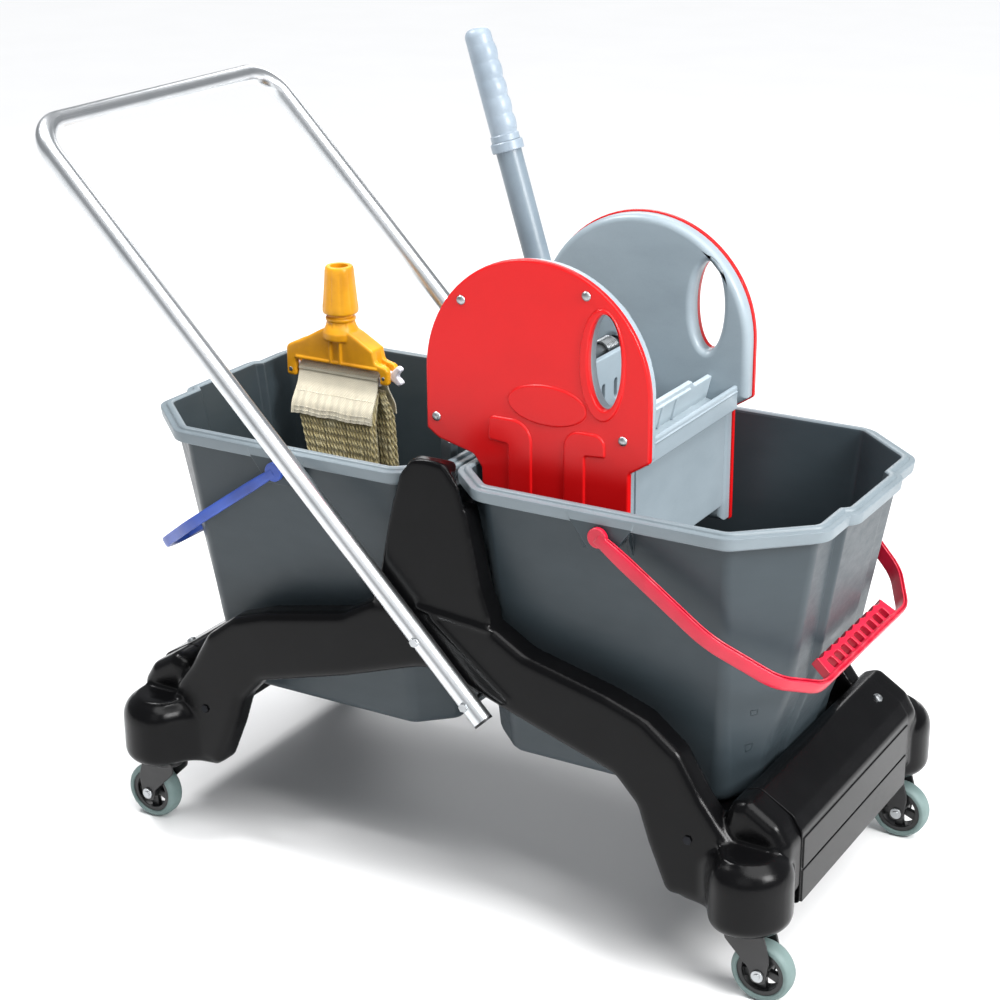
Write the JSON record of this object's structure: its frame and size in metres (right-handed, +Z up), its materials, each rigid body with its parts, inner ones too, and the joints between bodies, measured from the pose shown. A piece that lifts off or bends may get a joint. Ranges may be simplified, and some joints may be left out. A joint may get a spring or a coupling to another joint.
{
  "type": "mop bucket trolley with wringer",
  "caption": "Twin-bucket mop trolley with a lever-operated down-press wringer, lift-out buckets with bails, a push handle on swivel casters, and a stored mop head in its holder.",
  "frame": {"origin": "on the floor, under the middle of the whole trolley's plan", "axes": "+X towards the front bucket, away from the push handle; +Y to the pusher's left; +Z up"},
  "size_m": [1.041, 0.554, 1.0427],
  "materials": {
    "base_black": "semi-gloss moulded",
    "bucket_grey": "fine matt moulded",
    "wringer_grey": "satin moulded",
    "press_grey": "satin moulded",
    "panel_red": "gloss moulded",
    "bail_red": "gloss moulded",
    "bail_blue": "gloss moulded",
    "handle_metal": "satin anodised",
    "steel": "zinc plated",
    "lever_grey": "satin",
    "lever_paint": "satin powder coat",
    "fork_black": "semi-gloss moulded",
    "hub_black": "moulded",
    "tyre_grey": "smooth thermoplastic rubber",
    "holder_amber": "gloss moulded",
    "gate_white": "gloss moulded",
    "headband_cloth": "woven tape",
    "yarn": "twisted cotton yarn",
    "tape_dark": "woven tape",
    "spring_steel": "spring wire",
    "plug_black": "moulded"
  },
  "bodies": {
    "chassis": {"side_frame_right": "base_black", "side_frame_left": "base_black", "cross_beam_front": "base_black", "cross_beam_rear": "base_black", "beam_screws": "steel", "wringer_rail": "steel", "push_handle": "handle_metal", "handle_screws": "steel", "handle_plugs": "plug_black"},
    "caster_front_right": {"caster_fork_front_right": "fork_black", "caster_axle_front_right": "steel"},
    "wheel_front_right": {"wheel_hub_front_right": "hub_black", "tyre_front_right": "tyre_grey"},
    "caster_front_left": {"caster_fork_front_left": "fork_black", "caster_axle_front_left": "steel"},
    "wheel_front_left": {"wheel_hub_front_left": "hub_black", "tyre_front_left": "tyre_grey"},
    "caster_rear_right": {"caster_fork_rear_right": "fork_black", "caster_axle_rear_right": "steel"},
    "wheel_rear_right": {"wheel_hub_rear_right": "hub_black", "tyre_rear_right": "tyre_grey"},
    "caster_rear_left": {"caster_fork_rear_left": "fork_black", "caster_axle_rear_left": "steel"},
    "wheel_rear_left": {"wheel_hub_rear_left": "hub_black", "tyre_rear_left": "tyre_grey"},
    "front_bucket": {"front_bucket": "bucket_grey"},
    "rear_bucket": {"rear_bucket": "bucket_grey"},
    "front_bail": {"front_bail": "bail_red"},
    "rear_bail": {"rear_bail": "bail_blue"},
    "wringer": {"cheek_right": "wringer_grey", "cheek_left": "wringer_grey", "side_panel_right": "panel_red", "side_panel_left": "panel_red", "panel_rivets": "steel", "front_wall": "wringer_grey", "press_plate": "press_grey", "rear_crossbar": "wringer_grey", "hook_brackets": "steel", "hook_bolts": "steel", "jaw_pin_rod": "steel", "return_spring": "spring_steel"},
    "jaw": {"moving_jaw": "press_grey"},
    "lever": {"lever_shaft": "steel", "lever_crank": "lever_paint", "roller_pin": "steel", "crank_rollers": "fork_black", "lever_tube": "lever_paint", "lever_collar": "lever_grey", "lever_grip": "lever_grey"},
    "mop": {"holder_body": "holder_amber", "holder_collar": "holder_amber", "gate_pin": "steel", "latch_pin": "steel", "mop_headband": "headband_cloth", "mop_yarn": "yarn", "mop_tail_band": "tape_dark"},
    "gate": {"gate_bar": "gate_white"},
    "latch": {"gate_latch": "gate_white"}
  },
  "joints": [
    {"name": "caster_swivel_front_right", "type": "hinge", "parent": "chassis", "child": "caster_front_right", "pos_m": [0.455, -0.22, 0.094], "axis": [0, 0, 1], "continuous": true},
    {"name": "wheel_spin_front_right", "type": "hinge", "parent": "caster_front_right", "child": "wheel_front_right", "pos_m": [0.479, -0.22, 0.0375], "axis": [0, 1, 0], "continuous": true},
    {"name": "caster_swivel_front_left", "type": "hinge", "parent": "chassis", "child": "caster_front_left", "pos_m": [0.455, 0.22, 0.094], "axis": [0, 0, 1], "continuous": true},
    {"name": "wheel_spin_front_left", "type": "hinge", "parent": "caster_front_left", "child": "wheel_front_left", "pos_m": [0.479, 0.22, 0.0375], "axis": [0, 1, 0], "continuous": true},
    {"name": "caster_swivel_rear_right", "type": "hinge", "parent": "chassis", "child": "caster_rear_right", "pos_m": [-0.381, -0.22, 0.094], "axis": [0, 0, 1], "continuous": true},
    {"name": "wheel_spin_rear_right", "type": "hinge", "parent": "caster_rear_right", "child": "wheel_rear_right", "pos_m": [-0.405, -0.22, 0.0375], "axis": [0, 1, 0], "continuous": true},
    {"name": "caster_swivel_rear_left", "type": "hinge", "parent": "chassis", "child": "caster_rear_left", "pos_m": [-0.381, 0.22, 0.094], "axis": [0, 0, 1], "continuous": true},
    {"name": "wheel_spin_rear_left", "type": "hinge", "parent": "caster_rear_left", "child": "wheel_rear_left", "pos_m": [-0.405, 0.22, 0.0375], "axis": [0, 1, 0], "continuous": true},
    {"name": "rear_bucket_lift", "type": "slide", "parent": "chassis", "child": "rear_bucket", "axis": [0, 0, 1], "range_m": [0, 0.45]},
    {"name": "front_bucket_lift", "type": "slide", "parent": "chassis", "child": "front_bucket", "axis": [0, 0, 1], "range_m": [0, 0.45]},
    {"name": "front_bail_swing", "type": "hinge", "parent": "front_bucket", "child": "front_bail", "pos_m": [0.259, 0, 0.526], "axis": [0, -1, 0], "range_deg": [0, 125]},
    {"name": "rear_bail_swing", "type": "hinge", "parent": "rear_bucket", "child": "rear_bail", "pos_m": [-0.185, 0, 0.526], "axis": [0, 1, 0], "range_deg": [0, 125]},
    {"name": "wringer_lift", "type": "slide", "parent": "front_bucket", "child": "wringer", "axis": [0, 0, 1], "range_m": [0, 0.4]},
    {"name": "lever_press", "type": "hinge", "parent": "wringer", "child": "lever", "pos_m": [0.099, 0, 0.64], "axis": [0, -1, 0], "range_deg": [0, 57], "stiffness_Nm_per_rad": 3, "springref_deg": -34.38},
    {"name": "jaw_close", "type": "hinge", "parent": "wringer", "child": "jaw", "pos_m": [0.129, 0, 0.44], "axis": [0, 1, 0], "range_deg": [0, 22.3]},
    {"name": "mop_lift", "type": "slide", "parent": "rear_bucket", "child": "mop", "axis": [0, 0, 1], "range_m": [0, 0.45]},
    {"name": "gate_open", "type": "hinge", "parent": "mop", "child": "gate", "pos_m": [-0.373, 0.095, 0.548], "axis": [0, 1, 0], "range_deg": [0, 80]},
    {"name": "latch_open", "type": "hinge", "parent": "mop", "child": "latch", "pos_m": [-0.223, 0.095, 0.556], "axis": [0, -1, 0], "range_deg": [0, 80]}
  ],
  "couplings": [
    {"joint": "front_bucket_lift", "follows": "rear_bucket_lift", "ratio": 1},
    {"joint": "jaw_close", "follows": "lever_press", "ratio": 0.39}
  ]
}
